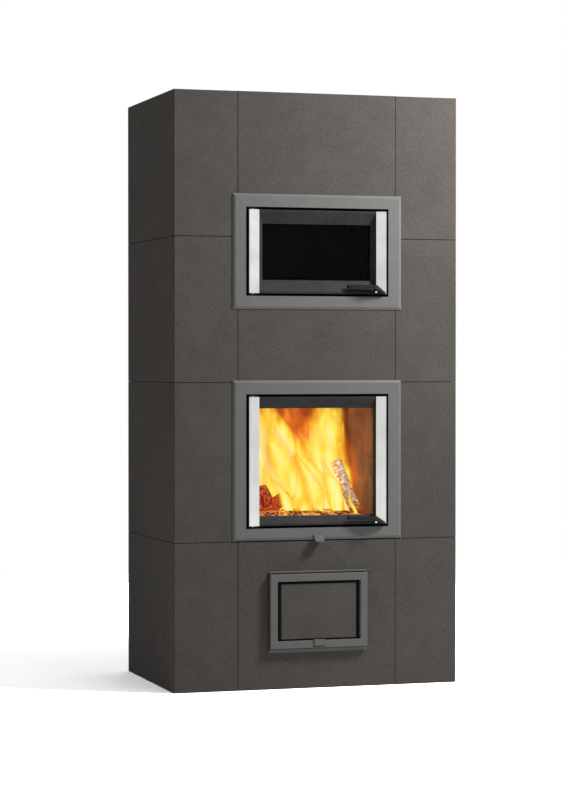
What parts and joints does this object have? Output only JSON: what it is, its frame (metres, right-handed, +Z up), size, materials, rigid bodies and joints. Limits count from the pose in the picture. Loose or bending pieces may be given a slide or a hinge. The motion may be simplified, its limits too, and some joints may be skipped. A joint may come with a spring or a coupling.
{
  "type": "soapstone stove",
  "caption": "Tall heat-retaining soapstone stove with a glazed firebox, a glazed bake oven above it, a stone-faced ash hatch below, an air slide and a top flue collar.",
  "frame": {"origin": "middle of the underside, on the floor", "axes": "+Z up, the doors face -Y, +X to the right as seen from the front"},
  "size_m": [0.95, 0.6376, 1.9],
  "materials": {
    "soapstone": "honed, fine grained dark warm grey",
    "firebrick": "rough fired clay",
    "grey_steel": "satin grey heat-proof paint",
    "black_iron": "fine matt black",
    "polished_steel": "polished, faintly brushed",
    "ceramic_glass": "clear dark ceramic glass",
    "glass_fibre": "braided grey rope",
    "zinc_steel": "plain plated steel"
  },
  "bodies": {
    "root": {"front_stones_left": "soapstone", "front_stones_right": "soapstone", "side_stones_left": "soapstone", "side_stones_right": "soapstone", "back_stones": "soapstone", "front_stone_top": "soapstone", "front_stone_middle": "soapstone", "front_stone_base": "soapstone", "top_slab": "soapstone", "flue_collar": "zinc_steel", "foundation_slab": "soapstone", "ash_chamber_floor": "soapstone", "ash_chamber_walls": "soapstone", "core_deck": "soapstone", "hearth_bed": "firebrick", "hearth_stones": "firebrick", "grate": "black_iron", "firebox_side_liners": "firebrick", "firebox_back_liner": "firebrick", "core_walls": "soapstone", "smoke_baffle": "firebrick", "oven_floor": "soapstone", "oven_walls": "soapstone", "oven_ceiling": "soapstone", "channel_partitions": "soapstone", "top_piers": "soapstone", "flue_shaft_walls": "soapstone", "hatch_lip_frame": "grey_steel", "hatch_pins": "zinc_steel", "firebox_surround": "grey_steel", "firebox_frame": "black_iron", "oven_surround": "grey_steel", "oven_frame": "black_iron", "surround_studs": "zinc_steel", "door_hinge_plates": "black_iron", "door_hinge_pins": "zinc_steel"},
    "firebox_door": {"firebox_leaf": "black_iron", "firebox_rope": "glass_fibre", "firebox_glass_gasket": "glass_fibre", "firebox_glass": "ceramic_glass", "firebox_glass_retainer": "zinc_steel", "firebox_strips": "polished_steel"},
    "firebox_lever": {"firebox_handle": "black_iron", "firebox_latch": "polished_steel"},
    "oven_door": {"oven_leaf": "black_iron", "oven_rope": "glass_fibre", "oven_glass_gasket": "glass_fibre", "oven_glass": "ceramic_glass", "oven_glass_retainer": "zinc_steel", "oven_strips": "polished_steel"},
    "oven_lever": {"oven_handle": "black_iron", "oven_latch": "polished_steel"},
    "air_control": {"air_slide": "zinc_steel", "air_knob": "grey_steel"},
    "ash_hatch": {"hatch_frame": "grey_steel", "hatch_tray": "black_iron", "hatch_stone": "soapstone", "latch_pin": "zinc_steel"},
    "finger_latch": {"hatch_latch": "grey_steel"},
    "pan": {"ash_pan": "zinc_steel"}
  },
  "joints": [
    {"name": "firebox_door_hinge", "type": "hinge", "parent": "root", "child": "firebox_door", "pos_m": [-0.2165, -0.298, 0.7275], "axis": [0, 0, -1], "range_deg": [0, 110]},
    {"name": "firebox_handle_lift", "type": "hinge", "parent": "firebox_door", "child": "firebox_lever", "pos_m": [0.1925, -0.307, 0.53], "axis": [0, 1, 0], "range_deg": [0, 30]},
    {"name": "oven_door_hinge", "type": "hinge", "parent": "root", "child": "oven_door", "pos_m": [-0.2165, -0.298, 1.394], "axis": [0, 0, -1], "range_deg": [0, 110]},
    {"name": "oven_handle_lift", "type": "hinge", "parent": "oven_door", "child": "oven_lever", "pos_m": [0.1925, -0.307, 1.269], "axis": [0, 1, 0], "range_deg": [0, 30]},
    {"name": "air_control_pull", "type": "slide", "parent": "root", "child": "air_control", "axis": [0, -1, 0], "range_m": [0, 0.04]},
    {"name": "ash_hatch_hinge", "type": "hinge", "parent": "root", "child": "ash_hatch", "pos_m": [0, -0.311, 0.364], "axis": [-1, 0, 0], "range_deg": [0, 80]},
    {"name": "finger_latch_pull", "type": "hinge", "parent": "ash_hatch", "child": "finger_latch", "pos_m": [0, -0.3155, 0.1425], "axis": [1, 0, 0], "range_deg": [0, 12]},
    {"name": "ash_pan_slide", "type": "slide", "parent": "root", "child": "pan", "axis": [0, -1, 0], "range_m": [0, 0.25]}
  ],
  "couplings": [
    {"joint": "ash_pan_slide", "follows": "ash_hatch_hinge", "m_per_rad": 0.179}
  ]
}
